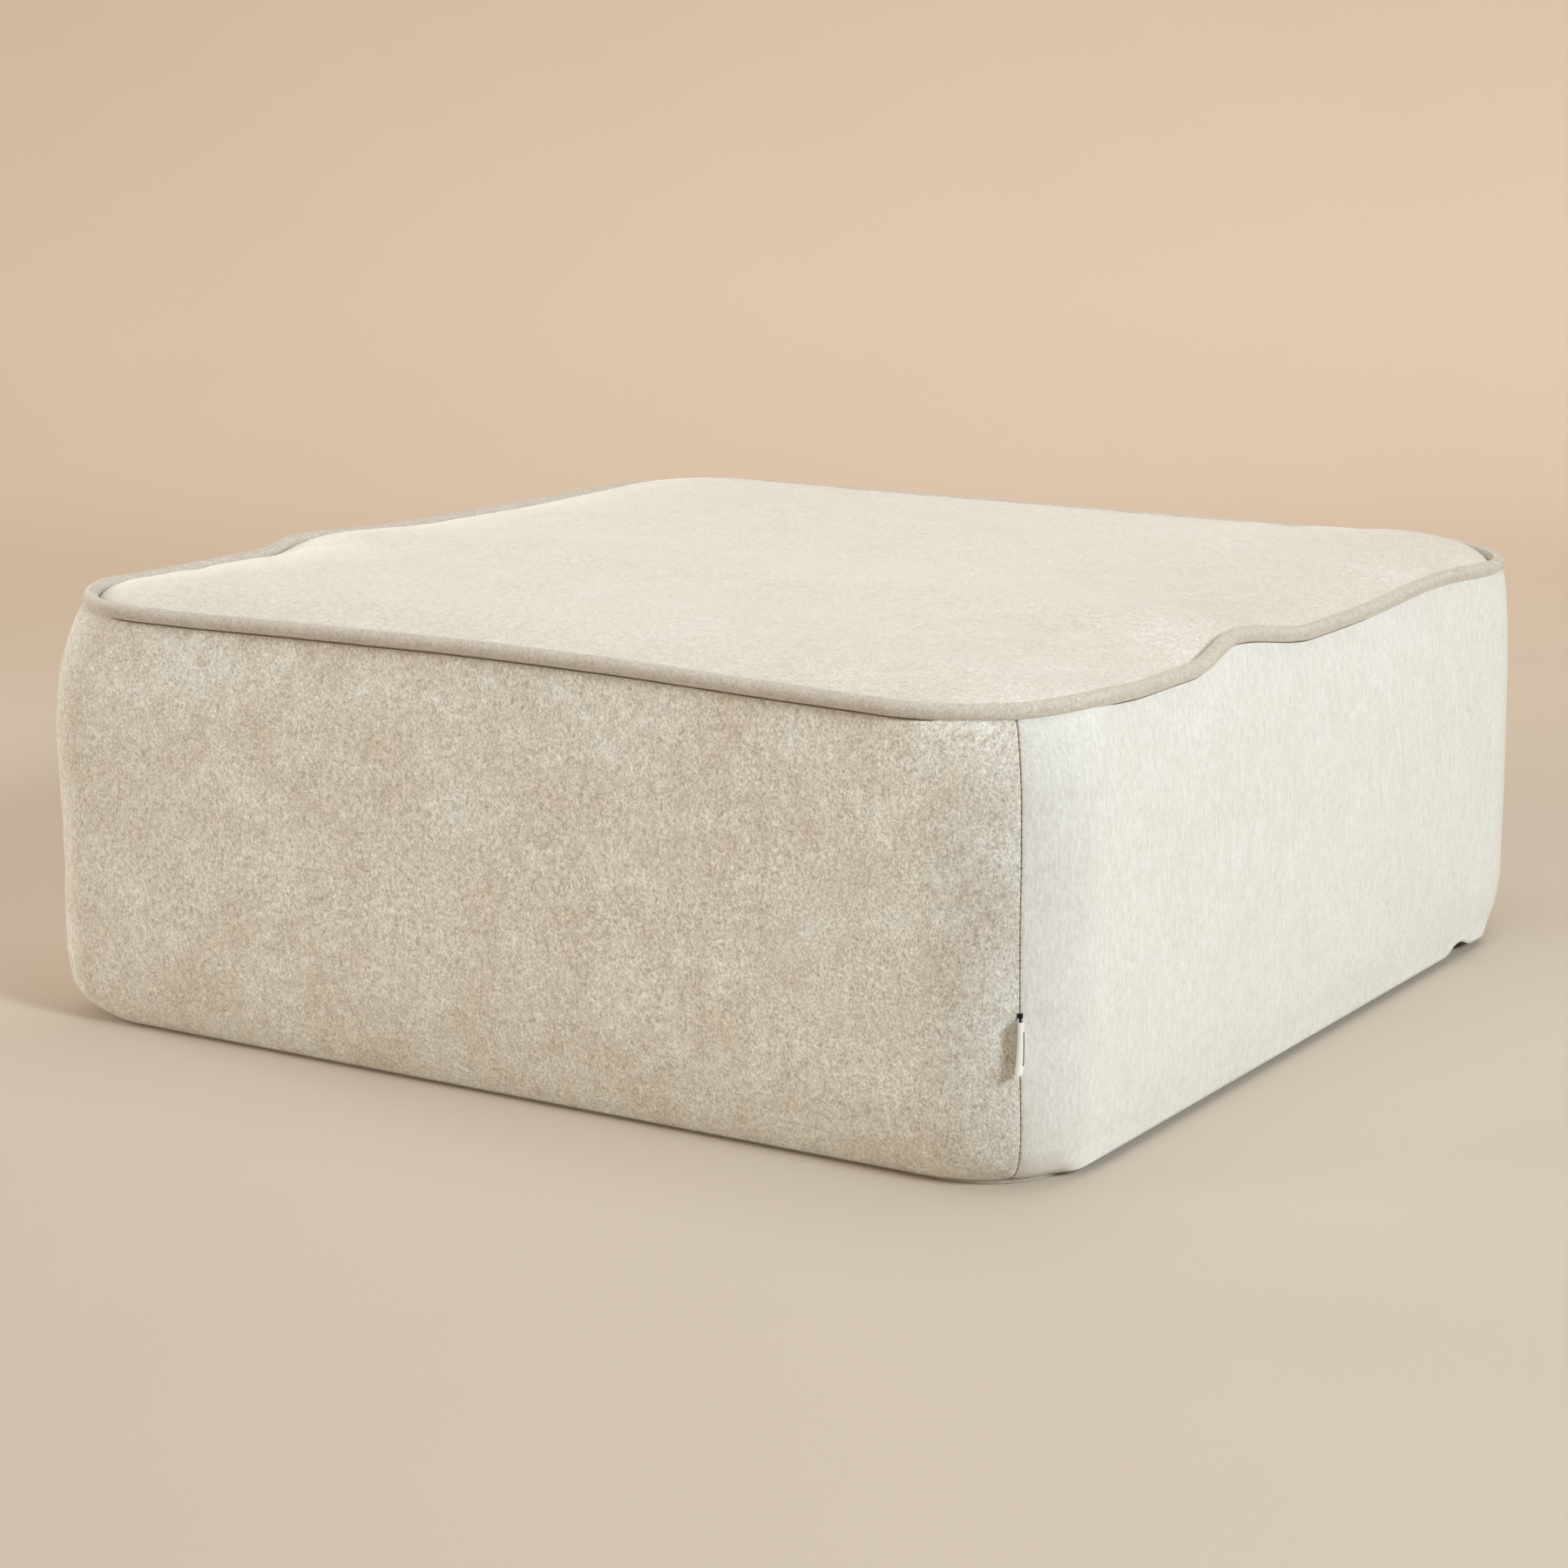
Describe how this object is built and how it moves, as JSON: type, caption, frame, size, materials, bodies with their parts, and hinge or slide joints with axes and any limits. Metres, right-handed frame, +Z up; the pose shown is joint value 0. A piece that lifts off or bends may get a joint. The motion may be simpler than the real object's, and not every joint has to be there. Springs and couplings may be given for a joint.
{
  "type": "floor cushion",
  "caption": "Square block floor cushion: plush cover with a piped top edge, corner seams and hidden base zip over a layered foam core.",
  "frame": {"origin": "centre of the face that the cushion rests on, on the floor", "axes": "+Z up, +X towards the side with the zip, -Y towards the front, so the label is at the +X -Y corner"},
  "size_m": [0.791, 0.791, 0.3082],
  "materials": {
    "plush_top": "short-pile cream plush",
    "plush_side": "short-pile cream plush",
    "piping_cloth": "short-pile cream plush cut on the bias",
    "piping_filler": "soft twisted filler cord",
    "base_cloth": "plain woven cloth",
    "label_cloth": "folded woven tape",
    "care_label_cloth": "thin satin tape, blank",
    "zip_tape": "knitted zip tape",
    "zip_teeth": "nylon coil",
    "zip_metal": "dark plated metal",
    "polyester_fibre": "lofty fibre wadding",
    "liner_cloth": "thin non-woven cloth",
    "foam_firm": "open-cell foam, firm",
    "foam_soft": "open-cell foam, soft"
  },
  "bodies": {
    "cushion": {"top_panel": "plush_top", "side_band_front_left": "plush_side", "side_band_right_back": "plush_side", "piping_strip": "piping_cloth", "piping_cord": "piping_filler", "base_panel": "base_cloth", "care_label": "care_label_cloth", "zip_tape_upper": "zip_tape", "zip_tape_lower": "zip_tape", "zip_teeth_upper": "zip_teeth", "zip_teeth_lower": "zip_teeth", "fibre_wrap": "polyester_fibre", "inner_liner": "liner_cloth", "foam_base_block": "foam_firm", "foam_top_front": "foam_soft", "foam_top_rear": "foam_soft"},
    "zip_slider": {"zip_slider": "zip_metal"},
    "zip_pull_tab": {"zip_pull_tab": "zip_metal"},
    "woven_label": {"woven_label": "label_cloth"}
  },
  "joints": [
    {"name": "zip_slide", "type": "slide", "parent": "cushion", "child": "zip_slider", "axis": [0, -1, 0], "range_m": [0, 0.52]},
    {"name": "zip_tab_swing", "type": "hinge", "parent": "zip_slider", "child": "zip_pull_tab", "pos_m": [0.38425, 0.262, 0.01], "axis": [0, 0, 1], "range_deg": [0, 170]},
    {"name": "label_flex", "type": "hinge", "parent": "cushion", "child": "woven_label", "pos_m": [0.37844, -0.37844, 0.0945], "axis": [0, 0, 1], "range_deg": [-55, 55], "stiffness_Nm_per_rad": 0.002}
  ]
}
